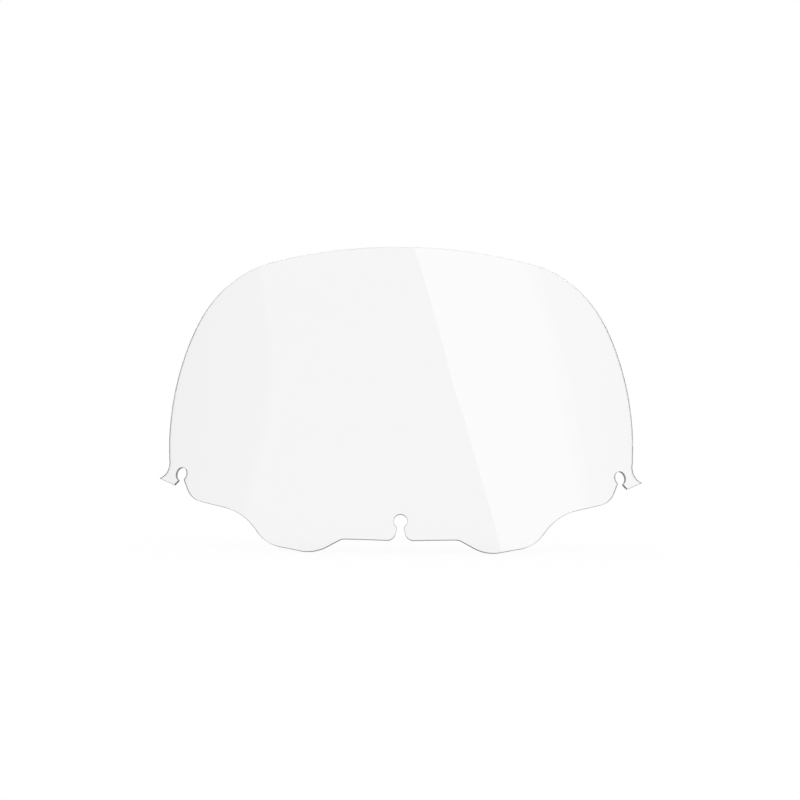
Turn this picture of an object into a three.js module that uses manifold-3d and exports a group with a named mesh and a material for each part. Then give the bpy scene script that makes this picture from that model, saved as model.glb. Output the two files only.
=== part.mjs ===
// A clear windshield screen for a handlebar-mounted motorcycle fairing.
//
// The real screen is one sheet of clear plastic and nothing else: it is cut flat, its edges are
// finished, and it is bent while warm. Three keyhole slots in its lower edge drop over fixings
// that belong to the fairing, so the sheet carries no hardware of its own.
//
// Millimetres, +Z up, +X along the sheet's width. The origin is the centre of the middle keyhole,
// halfway through the sheet. The crowned outer side faces -Y, which is where the motorcycle
// heads, the ends curl back towards +Y, and the sheet leans back so that its top edge lies
// towards +Y, where the rider is.

import * as THREE from 'three';
import { mergeVertices } from 'three/addons/utils/BufferGeometryUtils.js';
import Module from 'manifold-3d';

// The sheet and its bend
const THICKNESS = 3;
const BEND_RADIUS = 430; // of the surface halfway through the sheet
const LEAN_DEGREES = 16;
const STRIP_WIDTH = 12; // the bend is faceted into flat strips this wide, one centred on X = 0
const ARC_ERROR = 0.06; // how far a chord may cut inside the arc that it stands for

const MERGE_DISTANCE = 1e-3; // points closer than this are one point

// The outline is drawn on the flat sheet: x is the distance from the middle line, y is the height
// above the middle keyhole. Only the right half is drawn, and the left half mirrors it.
const TOP_HEIGHT = 316;
const TOP_RADIUS = 1050;
const SHOULDER_RADIUS = 134;
const SIDE_RADIUS = 250;
const SIDE_REACH = 281.5; // from the middle line to the bulge of the side
const SIDE_HEIGHT = 113.5; // of that bulge
const FLARE_RADIUS = 15; // of the hollow that runs from the side out to the ear tab

// Keyhole slots: a round hole with a neck that opens through the lower edge
const HOLE_RADIUS = 7.5;
const NECK_WIDTH = 7;
const MIDDLE_HOLE = new THREE.Vector2(0, 0);
const SIDE_HOLE = new THREE.Vector2(262, 70.5);

// The ear tab ends in a pointed tip. The other corners of the lower edge are rounded, and stand
// here in order from the ear tab inwards.
const EAR_TIP = new THREE.Vector2(295.5, 70.5);
const EAR_HEEL = { at: new THREE.Vector2(272, 59), radius: 1.5 };
const FLANK_CORNERS = [
  { at: new THREE.Vector2(247.5, 39.5), radius: 32 }, // below the side keyhole
  { at: new THREE.Vector2(178, 17), radius: 78 }, // hollow of the flank
  { at: new THREE.Vector2(150.5, -21), radius: 46 }, // outer end of the lobe
  { at: new THREE.Vector2(94.5, -35), radius: 44 }, // inner end of the lobe
  { at: new THREE.Vector2(64, -19.5), radius: 11 }, // lobe meets the straight edge
  { at: new THREE.Vector2(7, -22), radius: 9.5 }, // mouth of the middle slot
];

const { Manifold, Mesh: SolidMesh } = await loadSolids();

async function loadSolids() {
  const wasm = await Module();
  wasm.setup();
  return wasm;
}

// Points along an arc from one angle to another, both ends included.
function arc(centre, radius, fromAngle, toAngle) {
  const longestStep = 2 * Math.acos(1 - ARC_ERROR / radius);
  const steps = Math.max(1, Math.ceil(Math.abs(toAngle - fromAngle) / longestStep));
  return Array.from({ length: steps + 1 }, (_, step) => {
    const angle = THREE.MathUtils.lerp(fromAngle, toAngle, step / steps);
    return new THREE.Vector2(radius * Math.cos(angle), radius * Math.sin(angle)).add(centre);
  });
}

// The place where two circles cross, on the right of the line from the first centre to the second.
function circlesCross(firstCentre, firstRadius, secondCentre, secondRadius) {
  const between = secondCentre.clone().sub(firstCentre);
  const distance = between.length();
  const along = (firstRadius ** 2 - secondRadius ** 2 + distance ** 2) / (2 * distance);
  const aside = Math.sqrt(firstRadius ** 2 - along ** 2);
  const unit = between.divideScalar(distance);
  const right = new THREE.Vector2(unit.y, -unit.x);
  return firstCentre.clone().addScaledVector(unit, along).addScaledVector(right, aside);
}

function directionFrom(start, end) {
  return Math.atan2(end.y - start.y, end.x - start.x);
}

// The arc that rounds a corner, tangent to both of the edges that meet there.
function roundedCorner(before, corner, after) {
  const back = before.clone().sub(corner.at).normalize();
  const on = after.clone().sub(corner.at).normalize();
  const halfAngle = Math.acos(back.dot(on)) / 2;
  const bisector = back.clone().add(on).normalize();
  const centre = corner.at.clone().addScaledVector(bisector, corner.radius / Math.sin(halfAngle));
  const tangentLength = corner.radius / Math.tan(halfAngle);
  const fromAngle = directionFrom(centre, corner.at.clone().addScaledVector(back, tangentLength));
  const toAngle = directionFrom(centre, corner.at.clone().addScaledVector(on, tangentLength));
  const turn = THREE.MathUtils.euclideanModulo(toAngle - fromAngle + Math.PI, 2 * Math.PI) - Math.PI;
  return arc(centre, corner.radius, fromAngle, fromAngle + turn);
}

// Angles, seen from a keyhole's centre, at which its neck leaves the round hole.
function neckAngles() {
  const halfGap = Math.asin(NECK_WIDTH / 2 / HOLE_RADIUS);
  return { right: -Math.PI / 2 + halfGap, left: (3 * Math.PI) / 2 - halfGap };
}

// Top edge, shoulder, side and the hollow that flares out to the tip of the ear tab.
function upperEdge() {
  const topCentre = new THREE.Vector2(0, TOP_HEIGHT - TOP_RADIUS);
  const sideCentre = new THREE.Vector2(SIDE_REACH - SIDE_RADIUS, SIDE_HEIGHT);
  const shoulderCentre = circlesCross(
    topCentre, TOP_RADIUS - SHOULDER_RADIUS, sideCentre, SIDE_RADIUS - SHOULDER_RADIUS,
  );
  const flareCentre = circlesCross(EAR_TIP, FLARE_RADIUS, sideCentre, SIDE_RADIUS + FLARE_RADIUS);
  const topToShoulder = directionFrom(topCentre, shoulderCentre);
  const shoulderToSide = directionFrom(sideCentre, shoulderCentre);
  const sideToFlare = directionFrom(sideCentre, flareCentre);
  const flareToTip = directionFrom(flareCentre, EAR_TIP) + 2 * Math.PI;
  return [
    ...arc(topCentre, TOP_RADIUS, Math.PI / 2, topToShoulder),
    ...arc(shoulderCentre, SHOULDER_RADIUS, topToShoulder, shoulderToSide).slice(1),
    ...arc(sideCentre, SIDE_RADIUS, shoulderToSide, sideToFlare).slice(1),
    ...arc(flareCentre, FLARE_RADIUS, sideToFlare + Math.PI, flareToTip).slice(1),
  ];
}

// Foot of the ear tab, the side keyhole, the flank with its lobe, and half of the middle keyhole.
function lowerEdge() {
  const neck = neckAngles();
  const sideHole = arc(SIDE_HOLE, HOLE_RADIUS, neck.right, neck.left);
  const middleHole = arc(MIDDLE_HOLE, HOLE_RADIUS, neck.right, Math.PI / 2);
  const stops = [sideHole.at(-1), ...FLANK_CORNERS.map((corner) => corner.at), middleHole[0]];
  return [
    ...roundedCorner(EAR_TIP, EAR_HEEL, sideHole[0]),
    ...sideHole,
    ...FLANK_CORNERS.flatMap((corner, index) => roundedCorner(stops[index], corner, stops[index + 2])),
    ...middleHole,
  ];
}

function flatOutline() {
  const rightHalf = [...upperEdge(), ...lowerEdge()];
  const leftHalf = rightHalf
    .slice(1, -1)
    .reverse()
    .map((point) => new THREE.Vector2(-point.x, point.y));
  return new THREE.Shape([...rightHalf, ...leftHalf]);
}

function toSolid(geometry) {
  const bare = geometry.clone();
  bare.deleteAttribute('normal');
  bare.deleteAttribute('uv');
  const merged = mergeVertices(bare, MERGE_DISTANCE);
  return new Manifold(new SolidMesh({
    numProp: 3,
    vertProperties: new Float32Array(merged.attributes.position.array),
    triVerts: new Uint32Array(merged.index.array),
  }));
}

// Bends one point of the flat sheet, in which z is the depth from the outer side. Between the
// two bend lines beside it the sheet stays flat.
function bend(point, firstLine) {
  const radius = BEND_RADIUS + THICKNESS / 2 - point.z;
  const onLine = (distance) => {
    const angle = distance / BEND_RADIUS;
    return new THREE.Vector3(radius * Math.sin(angle), BEND_RADIUS - radius * Math.cos(angle), point.y);
  };
  const share = (point.x - firstLine) / STRIP_WIDTH;
  return onLine(firstLine).lerp(onLine(firstLine + STRIP_WIDTH), share);
}

// The bent triangles of one strip of the flat sheet, without the two faces where it was cut.
// The box that cuts the strip out reaches well past the sheet on every other side.
function bentStrip(flatSheet, firstLine) {
  const cutter = new THREE.BoxGeometry(STRIP_WIDTH, 4 * TOP_HEIGHT, 4 * THICKNESS);
  cutter.translate(firstLine + STRIP_WIDTH / 2, 0, 0);
  const { vertProperties, triVerts } = flatSheet.intersect(toSolid(cutter)).getMesh();
  const corners = [];
  for (let first = 0; first < vertProperties.length; first += 3) {
    corners.push(new THREE.Vector3().fromArray(vertProperties, first));
  }
  const triangles = [];
  for (let first = 0; first < triVerts.length; first += 3) {
    triangles.push(Array.from(triVerts.slice(first, first + 3)));
  }
  const isCutFace = (triangle) => [firstLine, firstLine + STRIP_WIDTH].some((line) => (
    triangle.every((vertex) => Math.abs(corners[vertex].x - line) < MERGE_DISTANCE)
  ));
  return triangles
    .filter((triangle) => !isCutFace(triangle))
    .flatMap((triangle) => triangle.map((vertex) => bend(corners[vertex], firstLine)));
}

// The three edges of a triangle, each with the corner that faces it.
function edgesOf([first, second, third]) {
  return [[first, second, third], [second, third, first], [third, first, second]];
}

// A point that only one of two neighbouring strips has on their bend line leaves the skin open
// there. The triangle beside it is divided at that point, so that every edge has its partner.
function closeSeams(triangles, points) {
  const edges = triangles.flatMap(edgesOf);
  const partnered = new Set(edges.map(([start, end]) => `${end} ${start}`));
  const isOpen = ([start, end]) => !partnered.has(`${start} ${end}`);
  const loosePoints = new Set(edges.filter(isOpen).flatMap(([start, end]) => [start, end]));
  const pointOn = ([start, end]) => [...loosePoints].find((loose) => {
    const segment = new THREE.Line3(points[start], points[end]);
    const nearest = segment.closestPointToPoint(points[loose], true, new THREE.Vector3());
    return loose !== start && loose !== end && nearest.distanceTo(points[loose]) < MERGE_DISTANCE;
  });
  const unchecked = [...triangles];
  const closed = [];
  while (unchecked.length > 0) {
    const triangle = unchecked.pop();
    const seam = edgesOf(triangle).find((edge) => isOpen(edge) && pointOn(edge) !== undefined);
    if (seam) {
      const [start, end, facing] = seam;
      const middle = pointOn(seam);
      unchecked.push([start, middle, facing], [middle, end, facing]);
    } else {
      closed.push(triangle);
    }
  }
  return closed;
}

// One closed skin: the strips share their points along every bend line.
function bentSheet() {
  const flat = new THREE.ExtrudeGeometry(flatOutline(), { depth: THICKNESS, bevelEnabled: false });
  const flatSheet = toSolid(flat);
  const stripsPerSide = Math.ceil(EAR_TIP.x / STRIP_WIDTH - 0.5);
  const corners = [];
  for (let strip = -stripsPerSide; strip <= stripsPerSide; strip += 1) {
    corners.push(...bentStrip(flatSheet, (strip - 0.5) * STRIP_WIDTH));
  }
  const skin = mergeVertices(new THREE.BufferGeometry().setFromPoints(corners), MERGE_DISTANCE);
  const points = Array.from({ length: skin.attributes.position.count }, (_, index) => (
    new THREE.Vector3().fromBufferAttribute(skin.attributes.position, index)
  ));
  const triangles = [];
  for (let first = 0; first < skin.index.count; first += 3) {
    triangles.push(Array.from(skin.index.array.slice(first, first + 3)));
  }
  // Bending swaps the flat sheet's depth and height, which mirrors it, so each triangle is
  // turned over to face outwards.
  skin.setIndex(closeSeams(triangles, points).flatMap((triangle) => triangle.reverse()));
  return skin;
}

const clearPlastic = new THREE.MeshStandardMaterial({
  color: 0xf4f6f6,
  roughness: 0.05,
  metalness: 0,
  transparent: true,
  opacity: 0.25,
});

const sheet = new THREE.Mesh(bentSheet(), clearPlastic);
sheet.name = 'screen_sheet';
sheet.rotation.x = -THREE.MathUtils.degToRad(LEAN_DEGREES);

const screen = new THREE.Group();
screen.add(sheet);

export default screen;
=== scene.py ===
"""A clear windshield screen for a handlebar-mounted motorcycle fairing, in a pale studio.

The screen is one bent sheet of clear plastic. This script makes its fine surface: the true curve
of the bend, rounded and polished edges, and a clear material that mirrors the studio's light.
Metres, +Z up. The crowned outer side faces -Y, and the camera looks along +Y at that side.
"""

import math

import bpy
import numpy as np
from mathutils import Matrix, Vector
from mathutils.geometry import delaunay_2d_cdt


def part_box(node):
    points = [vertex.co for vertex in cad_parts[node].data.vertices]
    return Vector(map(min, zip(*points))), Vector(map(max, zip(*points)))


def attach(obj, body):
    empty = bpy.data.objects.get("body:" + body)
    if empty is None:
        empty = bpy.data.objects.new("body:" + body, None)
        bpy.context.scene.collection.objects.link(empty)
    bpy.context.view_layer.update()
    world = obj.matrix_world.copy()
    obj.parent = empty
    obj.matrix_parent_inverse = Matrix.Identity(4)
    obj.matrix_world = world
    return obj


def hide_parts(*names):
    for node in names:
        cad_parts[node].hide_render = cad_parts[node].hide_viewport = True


MM = 0.001

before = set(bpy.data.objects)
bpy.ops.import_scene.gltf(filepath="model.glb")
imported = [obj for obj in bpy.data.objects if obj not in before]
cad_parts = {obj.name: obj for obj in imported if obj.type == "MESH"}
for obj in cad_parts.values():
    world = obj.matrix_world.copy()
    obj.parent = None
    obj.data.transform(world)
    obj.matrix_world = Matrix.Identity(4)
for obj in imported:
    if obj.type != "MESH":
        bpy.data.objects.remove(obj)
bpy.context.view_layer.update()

# The sheet and its bend
THICKNESS = 3 * MM
BEND_RADIUS = 430 * MM  # of the surface halfway through the sheet
LEAN = math.radians(16)

# Outline of the flat sheet, right half: x from the middle line, y above the middle keyhole
TOP_HEIGHT = 316 * MM
TOP_RADIUS = 1050 * MM
SHOULDER_RADIUS = 134 * MM
SIDE_RADIUS = 250 * MM
SIDE_REACH = 281.5 * MM
SIDE_HEIGHT = 113.5 * MM
FLARE_RADIUS = 15 * MM
HOLE_RADIUS = 7.5 * MM
NECK_WIDTH = 7 * MM
SIDE_HOLE = Vector((262, 70.5)) * MM
EAR_TIP = Vector((295.5, 70.5)) * MM
EAR_TIP_ROUND = 0.6 * MM
FLARE_STOP = 3.2 * MM  # how far before the ear tab's tip the flare ends, for the tip's rounding
EAR_HEEL = (Vector((272, 59)) * MM, 1.5 * MM)
FLANK_CORNERS = [
    (Vector((247.5, 39.5)) * MM, 32 * MM),  # below the side keyhole
    (Vector((178, 17)) * MM, 78 * MM),  # hollow of the flank
    (Vector((150.5, -21)) * MM, 46 * MM),  # outer end of the lobe
    (Vector((94.5, -35)) * MM, 44 * MM),  # inner end of the lobe
    (Vector((64, -19.5)) * MM, 11 * MM),  # lobe meets the straight edge
    (Vector((7, -22)) * MM, 9.5 * MM),  # mouth of the middle slot
]

# Fineness of the visible surface
EDGE_STEP = 1.6 * MM  # between points along the outline
EDGE_TURN = math.radians(12)  # most that the outline may turn from one point to the next
GRID_STEP = 9 * MM  # between points inside it
EDGE_ROUND = 0.4 * MM  # radius that rounds the sheet's edges
ROUND_STEPS = 4
SHARP_CORNER = math.radians(25)  # a turn of the outline that is rounded off
CORNER_REACH = 1.44 * MM  # how far from such a corner its rounding starts
LONGEST_REACH = 0.9  # the same, as a share of the way to the next point of the outline
CORNER_POINTS = 6
SAME_POINT = 0.05 * MM  # points of the outline closer than this are one point

# Clear polycarbonate and its hard coat
PLASTIC_IOR = 1.585
COAT_ROUGHNESS = 0.01
WAVE_SCALE = 14  # of the slight waves that forming leaves
HAZE_CONTRAST = (0.3, 0.7)  # values of the haze's noise that get its least and most roughness

# The satin of the cut edges. Painted shade darkens its grey at the foot, between two heights, and a
# painted glow lights it at the top, between two others
FOOT_PAINTED_SHADE_GREY, EDGE_GREY = 0.55, 0.8
FOOT_HEIGHTS = (0.05, 0.12)
# Emission of the painted glow on the top edge, which is no lamp
TOP_PAINTED_GLOW = 0.3
TOP_HEIGHTS = (0.2, 0.28)

# Studio
CAMERA_DISTANCE = 3.0
CAMERA_ASIDE = -0.0018
CAMERA_HEIGHT = 0.1322
VIEW_WIDTH = 0.872  # what the picture takes in, at the middle keyhole
CAMERA_ROLL = math.radians(0.55)
FLOOR_REACH = 12
FLOOR_GAP = 0.2 * MM  # between the floor and the lowest point of the screen
FLOOR_MATT = 0.1  # share of the light that the floor scatters
FLOOR_GLOW = 0.9  # its own light, which makes it up to white
FLOOR_GLOW_ON_EDGES = 0.1  # what of it lights the sheet's satin edges

# What the plastic mirrors: brightness, and the angles between which one part blends into the next
MIRRORED_FLOOR_GLOW = 0.15
WALL = 0.75
CEILING_LEFT, CEILING_RIGHT = 0.27, 0.52
TOP_LIGHT = 1
WALL_TO_CEILING = (math.radians(9), math.radians(16))  # above the horizon
CEILING_TO_TOP_LIGHT = (math.radians(50), math.radians(64))
LEFT_TO_RIGHT = (math.radians(27), math.radians(37))  # to the right of straight ahead
SOFTBOX_BRIGHTNESS = 0.7
FLAG_BRIGHTNESS = 0
FLAG_WIDTH = 1.6
FLAG_CORNER = Vector((-0.71, 0.23))
FLAG_ROUND = 0.1  # radius that rounds that corner


def arc(centre, radius, from_angle, to_angle):
    """Points along an arc, both ends included."""
    turn = abs(to_angle - from_angle)
    steps = max(2, math.ceil(turn * radius / EDGE_STEP), math.ceil(turn / EDGE_TURN))
    angles = np.linspace(from_angle, to_angle, steps + 1)
    return [centre + radius * Vector((math.cos(a), math.sin(a))) for a in angles]


def straight(start, end):
    """Points along a straight edge, both ends included."""
    steps = max(1, round((end - start).length / EDGE_STEP))
    return [start.lerp(end, share) for share in np.linspace(0, 1, steps + 1)]


def direction(start, end):
    return math.atan2(end.y - start.y, end.x - start.x)


def circles_cross(first_centre, first_radius, second_centre, second_radius):
    """Where two circles cross, on the right of the line from the first centre to the second."""
    between = second_centre - first_centre
    along = (first_radius**2 - second_radius**2 + between.length_squared) / (2 * between.length)
    aside = math.sqrt(first_radius**2 - along**2)
    unit = between.normalized()
    return first_centre + along * unit + aside * Vector((unit.y, -unit.x))


def rounded_corner(before, corner, after):
    """The arc that rounds a corner, tangent to both of the edges that meet there."""
    at, radius = corner
    back = (before - at).normalized()
    on = (after - at).normalized()
    half_angle = back.angle(on) / 2
    centre = at + (back + on).normalized() * (radius / math.sin(half_angle))
    tangent_length = radius / math.tan(half_angle)
    from_angle = direction(centre, at + back * tangent_length)
    to_angle = direction(centre, at + on * tangent_length)
    turn = (to_angle - from_angle + math.pi) % (2 * math.pi) - math.pi
    return arc(centre, radius, from_angle, from_angle + turn)


def upper_edge():
    """Top edge, shoulder, side and the hollow that flares out to just before the ear tab's tip."""
    top_centre = Vector((0, TOP_HEIGHT - TOP_RADIUS))
    side_centre = Vector((SIDE_REACH - SIDE_RADIUS, SIDE_HEIGHT))
    shoulder_centre = circles_cross(
        top_centre, TOP_RADIUS - SHOULDER_RADIUS, side_centre, SIDE_RADIUS - SHOULDER_RADIUS
    )
    flare_centre = circles_cross(EAR_TIP, FLARE_RADIUS, side_centre, SIDE_RADIUS + FLARE_RADIUS)
    top_to_shoulder = direction(top_centre, shoulder_centre)
    shoulder_to_side = direction(side_centre, shoulder_centre)
    side_to_flare = direction(side_centre, flare_centre)
    flare_to_tip = direction(flare_centre, EAR_TIP) + 2 * math.pi - FLARE_STOP / FLARE_RADIUS
    return [
        arc(top_centre, TOP_RADIUS, math.pi / 2, top_to_shoulder),
        arc(shoulder_centre, SHOULDER_RADIUS, top_to_shoulder, shoulder_to_side),
        arc(side_centre, SIDE_RADIUS, shoulder_to_side, side_to_flare),
        arc(flare_centre, FLARE_RADIUS, side_to_flare + math.pi, flare_to_tip),
    ]


def lower_edge():
    """Foot of the ear tab, side keyhole, flank with its lobe, and half of the middle keyhole."""
    half_gap = math.asin(NECK_WIDTH / 2 / HOLE_RADIUS)
    neck_right = -math.pi / 2 + half_gap
    neck_left = 3 * math.pi / 2 - half_gap
    side_hole = arc(SIDE_HOLE, HOLE_RADIUS, neck_right, neck_left)
    middle_hole = arc(Vector((0, 0)), HOLE_RADIUS, neck_right, math.pi / 2)
    stops = [side_hole[-1], *[at for at, _ in FLANK_CORNERS], middle_hole[0]]
    flank = [
        rounded_corner(stops[index], corner, stops[index + 2])
        for index, corner in enumerate(FLANK_CORNERS)
    ]
    return [
        rounded_corner(EAR_TIP, EAR_HEEL, side_hole[0]),
        side_hole,
        *flank,
        middle_hole,
    ]


def softened(points):
    """Rounds each sharp corner between two runs of points, over CORNER_REACH on either side."""
    result = []
    count = len(points)
    for index, point in enumerate(points):
        before, after = points[index - 1], points[(index + 1) % count]
        if (point - before).angle(after - point, 0) < SHARP_CORNER:
            result.append(point)
            continue
        to_neighbour = min((point - before).length, (after - point).length)
        reach = min(CORNER_REACH, LONGEST_REACH * to_neighbour)
        start = point.lerp(before, reach / (point - before).length)
        end = point.lerp(after, reach / (after - point).length)
        for share in np.linspace(0, 1, CORNER_POINTS):
            result.append(start.lerp(point, share).lerp(point.lerp(end, share), share))
    return result


def flat_outline():
    """The whole outline as a ring of points, anticlockwise."""
    upper = upper_edge()
    tip = rounded_corner(upper[-1][-1], (EAR_TIP, EAR_TIP_ROUND), EAR_HEEL[0])
    right_half = []
    for run in [*upper, tip, *lower_edge()]:
        if right_half:
            right_half += straight(right_half[-1], run[0])[1:-1]
        right_half += run
    left_half = [Vector((-point.x, point.y)) for point in reversed(right_half)]
    ring = []
    for point in [*right_half, *left_half]:
        if not ring or (point - ring[-1]).length > SAME_POINT:
            ring.append(point)
    return softened(ring[:-1][::-1])


def outward_directions(ring):
    """At each point of an anticlockwise ring, the direction out of the sheet."""
    points = np.array(ring)
    along = np.roll(points, -1, axis=0) - np.roll(points, 1, axis=0)
    along /= np.linalg.norm(along, axis=1, keepdims=True)
    return np.stack([along[:, 1], -along[:, 0]], axis=1)


def edge_profile():
    """The sheet's rounded edge in section, from the hollow side to the outer side.

    Each entry is (how far in from the outline, depth, slope of the surface). Slope 0 faces straight
    out of the edge, and minus or plus a quarter turn faces the hollow or the outer side.
    """
    half = THICKNESS / 2
    slopes = np.linspace(0, math.pi / 2, ROUND_STEPS + 1)
    outer = [
        (EDGE_ROUND * (1 - math.cos(a)), half - EDGE_ROUND * (1 - math.sin(a)), a) for a in slopes
    ]
    hollow = [(inset, -depth, -a) for inset, depth, a in reversed(outer)]
    return hollow + outer


def inner_points(ring):
    """A staggered grid of points well inside the ring."""
    ring = np.array(ring)
    low, high = ring.min(0), ring.max(0)
    nexts = np.roll(ring, -1, axis=0)
    points = []
    rows = np.arange(low[1], high[1], GRID_STEP * math.sqrt(3) / 2)
    for row, y in enumerate(rows):
        shift = GRID_STEP / 2 if row % 2 else 0
        crossing = (ring[:, 1] > y) != (nexts[:, 1] > y)
        start, end = ring[crossing], nexts[crossing]
        share = (y - start[:, 1]) / (end[:, 1] - start[:, 1])
        cuts = start[:, 0] + share * (end[:, 0] - start[:, 0])
        for x in np.arange(low[0] + shift, high[0], GRID_STEP):
            inside = np.count_nonzero(cuts < x) % 2 == 1
            clear = np.hypot(ring[:, 0] - x, ring[:, 1] - y).min() > GRID_STEP / 2
            if inside and clear:
                points.append(Vector((x, y)))
    return points


def bend(x, y, depth, normal):
    """Bends a point of the flat sheet, and the direction that its surface faces, to the real curve."""
    angle = x / BEND_RADIUS
    radius = BEND_RADIUS + depth
    place = Vector((radius * math.sin(angle), BEND_RADIUS - radius * math.cos(angle), y))
    lean = Matrix.Rotation(-LEAN, 3, "X")
    return lean @ place, lean @ Matrix.Rotation(angle, 3, "Z") @ normal


def sheet_mesh():
    """One closed skin: a face on the hollow side, one on the outer side, and the rounded edge."""
    ring = flat_outline()
    outward = outward_directions(ring)
    profile = edge_profile()
    count = len(ring)
    places, normals, faces = [], [], []

    for inset, depth, slope in profile:
        for point, out in zip(ring, outward):
            facing = Vector((out[0] * math.cos(slope), -math.sin(slope), out[1] * math.cos(slope)))
            place, normal = bend(point.x - inset * out[0], point.y - inset * out[1], depth, facing)
            places.append(place)
            normals.append(normal)
    for level in range(len(profile) - 1):
        for index in range(count):
            on = (index + 1) % count
            here, there = level * count, (level + 1) * count
            faces.append((here + index, here + on, there + on, there + index))
    edge_faces = len(faces)

    inset_ring = [
        Vector((point.x - EDGE_ROUND * out[0], point.y - EDGE_ROUND * out[1]))
        for point, out in zip(ring, outward)
    ]
    flat_points = inset_ring + inner_points(inset_ring)
    corners, _, triangles, sources, _, _ = delaunay_2d_cdt(
        flat_points, [], [list(range(count))], 1, 1e-7
    )
    for side, first in ((-1, 0), (1, (len(profile) - 1) * count)):
        numbers = []
        for corner, source in zip(corners, sources):
            if source and source[0] < count:
                numbers.append(first + source[0])
                continue
            numbers.append(len(places))
            place, normal = bend(corner.x, corner.y, side * THICKNESS / 2, Vector((0, -side, 0)))
            places.append(place)
            normals.append(normal)
        for triangle in triangles:
            turned = triangle if side > 0 else reversed(triangle)
            faces.append(tuple(numbers[corner] for corner in turned))

    mesh = bpy.data.meshes.new("screen_panel")
    mesh.from_pydata(places, [], faces)
    mesh.validate()
    on_edge = [int(index < edge_faces) for index in range(len(mesh.polygons))]
    mesh.polygons.foreach_set("material_index", on_edge)
    mesh.polygons.foreach_set("use_smooth", [True] * len(mesh.polygons))
    mesh.normals_split_custom_set_from_vertices(normals)
    return mesh


def new_material(name):
    material = bpy.data.materials.new(name)
    material.use_nodes = True
    nodes = material.node_tree.nodes
    nodes.clear()
    output = nodes.new("ShaderNodeOutputMaterial")
    return material, nodes, material.node_tree.links, output


def clear_plastic(name, colour, clearness, hard_coat, roughness, wave_height, grain_scale):
    """Clear polycarbonate: slight waves from forming, and a haze that varies over the surface."""
    material, nodes, links, output = new_material(name)
    shader = nodes.new("ShaderNodeBsdfPrincipled")
    shader.inputs["Base Color"].default_value = (colour, colour, colour, 1)
    shader.inputs["Transmission Weight"].default_value = clearness
    shader.inputs["IOR"].default_value = PLASTIC_IOR
    shader.inputs["Coat Weight"].default_value = hard_coat
    shader.inputs["Coat IOR"].default_value = PLASTIC_IOR
    shader.inputs["Coat Roughness"].default_value = COAT_ROUGHNESS
    place = nodes.new("ShaderNodeTexCoord")

    haze = nodes.new("ShaderNodeTexNoise")
    haze.inputs["Scale"].default_value = grain_scale
    haze.inputs["Detail"].default_value = 4
    spread = nodes.new("ShaderNodeMapRange")
    spread.inputs["From Min"].default_value = HAZE_CONTRAST[0]
    spread.inputs["From Max"].default_value = HAZE_CONTRAST[1]
    spread.inputs["To Min"].default_value = roughness[0]
    spread.inputs["To Max"].default_value = roughness[1]
    links.new(place.outputs["Object"], haze.inputs["Vector"])
    links.new(haze.outputs["Fac"], spread.inputs["Value"])
    links.new(spread.outputs["Result"], shader.inputs["Roughness"])

    waves = nodes.new("ShaderNodeTexNoise")
    waves.inputs["Scale"].default_value = WAVE_SCALE
    waves.inputs["Detail"].default_value = 1
    bump = nodes.new("ShaderNodeBump")
    bump.inputs["Strength"].default_value = 1
    bump.inputs["Distance"].default_value = wave_height
    links.new(place.outputs["Object"], waves.inputs["Vector"])
    links.new(waves.outputs["Fac"], bump.inputs["Height"])
    links.new(bump.outputs["Normal"], shader.inputs["Normal"])

    links.new(shader.outputs["BSDF"], output.inputs["Surface"])
    return material


def paint_shade_and_glow_on_edge(material):
    """Paints shade on the edge along the foot as a darker grey, and paints a glow on the top as
    emission that stands in for light running up the sheet.
    """
    nodes, links = material.node_tree.nodes, material.node_tree.links
    shader = nodes["Principled BSDF"]
    shader.inputs["Emission Color"].default_value = (1, 1, 1, 1)
    place = nodes.new("ShaderNodeTexCoord")
    split = nodes.new("ShaderNodeSeparateXYZ")
    links.new(place.outputs["Object"], split.inputs["Vector"])
    # Painted shade: a darker grey towards the foot. Painted glow: emission towards the top.
    changes = [
        ("Base Color", FOOT_HEIGHTS, (FOOT_PAINTED_SHADE_GREY, EDGE_GREY)),
        ("Emission Strength", TOP_HEIGHTS, (0, TOP_PAINTED_GLOW)),
    ]
    for socket, heights, values in changes:
        change = nodes.new("ShaderNodeMapRange")
        change.interpolation_type = "SMOOTHSTEP"
        change.inputs["From Min"].default_value = heights[0]
        change.inputs["From Max"].default_value = heights[1]
        change.inputs["To Min"].default_value = values[0]
        change.inputs["To Max"].default_value = values[1]
        links.new(split.outputs["Z"], change.inputs["Value"])
        links.new(change.outputs["Result"], shader.inputs[socket])


def make_screen():
    mesh = sheet_mesh()
    polished = clear_plastic(
        "clear_plastic_polished",
        colour=0.998,
        clearness=1,
        hard_coat=1,
        roughness=(0.004, 0.02),
        wave_height=0.15 * MM,
        grain_scale=35,
    )
    satin = clear_plastic(
        "clear_plastic_edge",
        colour=EDGE_GREY,
        clearness=0.4,
        hard_coat=0,
        roughness=(0.25, 0.45),
        wave_height=0.1 * MM,
        grain_scale=220,
    )
    paint_shade_and_glow_on_edge(satin)
    mesh.materials.append(polished)
    mesh.materials.append(satin)
    screen = bpy.data.objects.new("screen_panel", mesh)
    bpy.context.scene.collection.objects.link(screen)
    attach(screen, "root")
    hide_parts("screen_sheet")


def mirrored_in_the_plastic(nodes, links):
    """1 for light that a surface of the plastic mirrors, 0 for light that comes any other way."""
    rays = nodes.new("ShaderNodeLightPath")
    mirrored = nodes.new("ShaderNodeMath")
    mirrored.operation = "SUBTRACT"
    mirrored.use_clamp = True
    links.new(rays.outputs["Is Reflection Ray"], mirrored.inputs[0])
    links.new(rays.outputs["Is Diffuse Ray"], mirrored.inputs[1])
    return mirrored.outputs["Value"]


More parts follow.
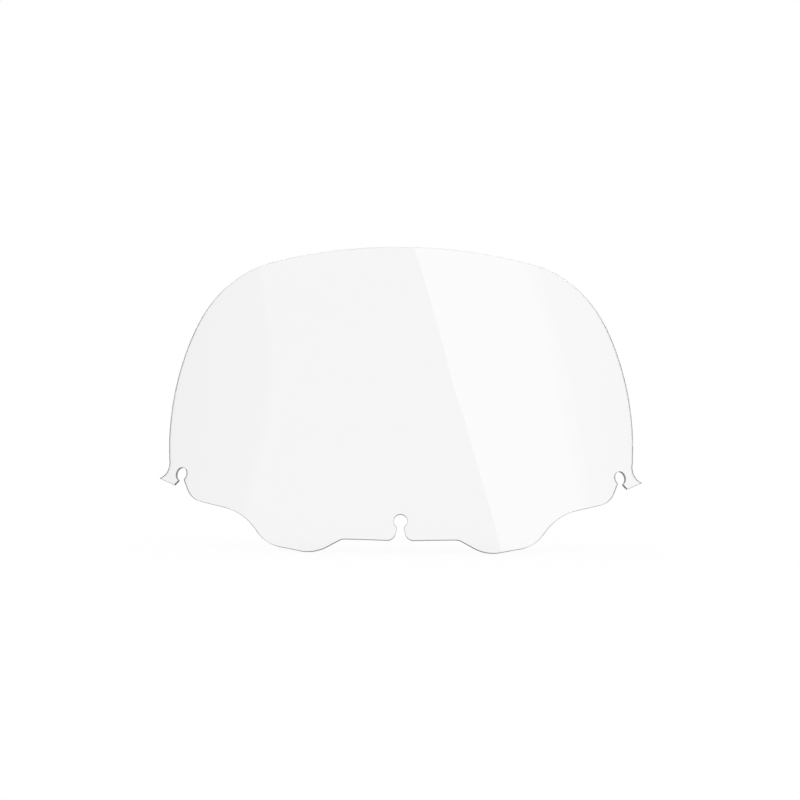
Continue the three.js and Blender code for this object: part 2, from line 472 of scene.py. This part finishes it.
def make_floor():
    """A large white floor that glows, so that it has no horizon. The plastic mirrors it grey."""
    low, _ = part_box("screen_sheet")
    mesh = bpy.data.meshes.new("floor")
    reach = FLOOR_REACH
    corners = [(-reach, -reach), (reach, -reach), (reach, reach), (-reach, reach)]
    mesh.from_pydata([(x, y, low.z - FLOOR_GAP) for x, y in corners], [], [(0, 1, 2, 3)])
    material, nodes, links, output = new_material("pale_floor")
    shader = nodes.new("ShaderNodeBsdfPrincipled")
    shader.inputs["Base Color"].default_value = (FLOOR_MATT, FLOOR_MATT, FLOOR_MATT, 1)
    shader.inputs["Roughness"].default_value = 1
    shader.inputs["Specular IOR Level"].default_value = 0
    shader.inputs["Emission Color"].default_value = (1, 1, 1, 1)
    rays = nodes.new("ShaderNodeLightPath")
    direct = nodes.new("ShaderNodeMapRange")
    direct.inputs["To Min"].default_value = FLOOR_GLOW
    direct.inputs["To Max"].default_value = FLOOR_GLOW_ON_EDGES
    links.new(rays.outputs["Is Diffuse Ray"], direct.inputs["Value"])
    glow = nodes.new("ShaderNodeMix")
    glow.inputs["B"].default_value = MIRRORED_FLOOR_GLOW
    links.new(mirrored_in_the_plastic(nodes, links), glow.inputs["Factor"])
    links.new(direct.outputs["Result"], glow.inputs["A"])
    links.new(glow.outputs["Result"], shader.inputs["Emission Strength"])
    links.new(shader.outputs["BSDF"], output.inputs["Surface"])
    mesh.materials.append(material)
    floor = bpy.data.objects.new("floor", mesh)
    bpy.context.scene.collection.objects.link(floor)


def blend(nodes, links, place, angles, first, second):
    """Goes from the first value to the second as a direction's `place` passes between two angles."""
    share = nodes.new("ShaderNodeMapRange")
    share.interpolation_type = "SMOOTHSTEP"
    share.inputs["From Min"].default_value = math.sin(angles[0])
    share.inputs["From Max"].default_value = math.sin(angles[1])
    links.new(place, share.inputs["Value"])
    mix = nodes.new("ShaderNodeMix")
    links.new(share.outputs["Result"], mix.inputs["Factor"])
    for value, socket in ((first, mix.inputs["A"]), (second, mix.inputs["B"])):
        if isinstance(value, (int, float)):
            socket.default_value = value
        else:
            links.new(value, socket)
    return mix.outputs["Result"]


def make_world():
    """An evenly white studio, which the plastic mirrors dimmer.

    What it mirrors is a lit wall round the horizon, above it a ceiling that is a little brighter on
    the right, and a white light overhead.
    """
    world = bpy.data.worlds.new("studio")
    bpy.context.scene.world = world
    world.use_nodes = True
    nodes, links = world.node_tree.nodes, world.node_tree.links
    nodes.clear()
    output = nodes.new("ShaderNodeOutputWorld")
    even = nodes.new("ShaderNodeBackground")
    even.inputs["Color"].default_value = (1, 1, 1, 1)
    dim = nodes.new("ShaderNodeBackground")

    place = nodes.new("ShaderNodeTexCoord")
    split = nodes.new("ShaderNodeSeparateXYZ")
    links.new(place.outputs["Generated"], split.inputs["Vector"])
    across, height = split.outputs["X"], split.outputs["Z"]
    ceiling = blend(nodes, links, across, LEFT_TO_RIGHT, CEILING_LEFT, CEILING_RIGHT)
    sides = blend(nodes, links, height, WALL_TO_CEILING, WALL, ceiling)
    brightness = blend(nodes, links, height, CEILING_TO_TOP_LIGHT, sides, TOP_LIGHT)
    links.new(brightness, dim.inputs["Strength"])

    mix = nodes.new("ShaderNodeMixShader")
    links.new(mirrored_in_the_plastic(nodes, links), mix.inputs["Fac"])
    links.new(even.outputs["Background"], mix.inputs[1])
    links.new(dim.outputs["Background"], mix.inputs[2])
    links.new(mix.outputs["Shader"], output.inputs["Surface"])


def make_card(name, place, target, edges, fade, brightness):
    """A card that only the plastic mirrors. It hangs at `place` and faces `target`.

    `edges` is two lists of corners, (across, height) from `place`, for the edge that the card starts
    at and the one it ends at. From fade[0] to fade[1] of the way across, the brightness changes.
    """
    facing = (target - place).normalized()
    across = Vector((0, 0, 1)).cross(facing).normalized()
    up = facing.cross(across)
    mesh = bpy.data.meshes.new(name)
    corners = [place + x * across + y * up for pair in zip(*edges) for x, y in pair]
    steps = range(0, len(corners) - 2, 2)
    mesh.from_pydata(corners, [], [(step, step + 1, step + 3, step + 2) for step in steps])
    share = mesh.uv_layers.new(name="share")
    for loop, corner in zip(share.data, mesh.loops):
        loop.uv = (corner.vertex_index % 2, 0)
    material, nodes, links, output = new_material(name + "_light")
    map_place = nodes.new("ShaderNodeTexCoord")
    split = nodes.new("ShaderNodeSeparateXYZ")
    change = nodes.new("ShaderNodeMapRange")
    change.interpolation_type = "SMOOTHSTEP"
    change.inputs["From Min"].default_value = fade[0]
    change.inputs["From Max"].default_value = fade[1]
    change.inputs["To Min"].default_value = brightness[0]
    change.inputs["To Max"].default_value = brightness[1]
    emission = nodes.new("ShaderNodeEmission")
    links.new(map_place.outputs["UV"], split.inputs["Vector"])
    links.new(split.outputs["X"], change.inputs["Value"])
    links.new(change.outputs["Result"], emission.inputs["Strength"])
    links.new(emission.outputs["Emission"], output.inputs["Surface"])
    mesh.materials.append(material)
    card = bpy.data.objects.new(name, mesh)
    bpy.context.scene.collection.objects.link(card)
    card.visible_camera = False
    card.visible_diffuse = False
    card.visible_transmission = False
    card.visible_shadow = False


def make_softbox():
    """The slanted softbox whose reflection is the bright band that crosses the screen."""
    place = Vector((0.551, -1.24, 0.959))
    target = Vector((0.095, -0.04, 0.183))
    near_edge = [(0.57, 0.45), (0.03, 0.01), (-0.57, -0.4)]
    far_edge = [(-0.2, 0.45), (-1.3, 0.01), (-2.1, -0.4)]
    light = (SOFTBOX_BRIGHTNESS, CEILING_RIGHT)
    make_card("softbox", place, target, (near_edge, far_edge), (0.7, 0.95), light)


def make_flag():
    """The dark flag on the left. Its rounded corner points at the middle, and its edge fades out."""
    place = Vector((-1.5, -0.45, 0.75))
    target = Vector((-0.18, 0, 0.195))
    top, foot = Vector((0.6, 0.7)), Vector((-0.28, -0.4))
    near_edge = [top, *rounded_corner(top, (FLAG_CORNER, FLAG_ROUND), foot), foot]
    far_edge = [point + Vector((FLAG_WIDTH, 0)) for point in near_edge]
    light = (CEILING_LEFT, FLAG_BRIGHTNESS)
    make_card("flag", place, target, (near_edge, far_edge), (0, 0.1), light)


def make_camera():
    camera = bpy.data.objects.new("camera", bpy.data.cameras.new("camera"))
    bpy.context.scene.collection.objects.link(camera)
    place = Matrix.Translation((CAMERA_ASIDE, -CAMERA_DISTANCE, CAMERA_HEIGHT))
    level = Matrix.Rotation(math.pi / 2, 4, "X")
    camera.matrix_world = place @ level @ Matrix.Rotation(CAMERA_ROLL, 4, "Z")
    camera.data.sensor_width = 36
    camera.data.lens = camera.data.sensor_width * CAMERA_DISTANCE / VIEW_WIDTH
    bpy.context.scene.camera = camera


make_camera()
make_screen()
make_floor()
make_world()
make_softbox()
make_flag()
bpy.context.scene.view_settings.view_transform = "Standard"
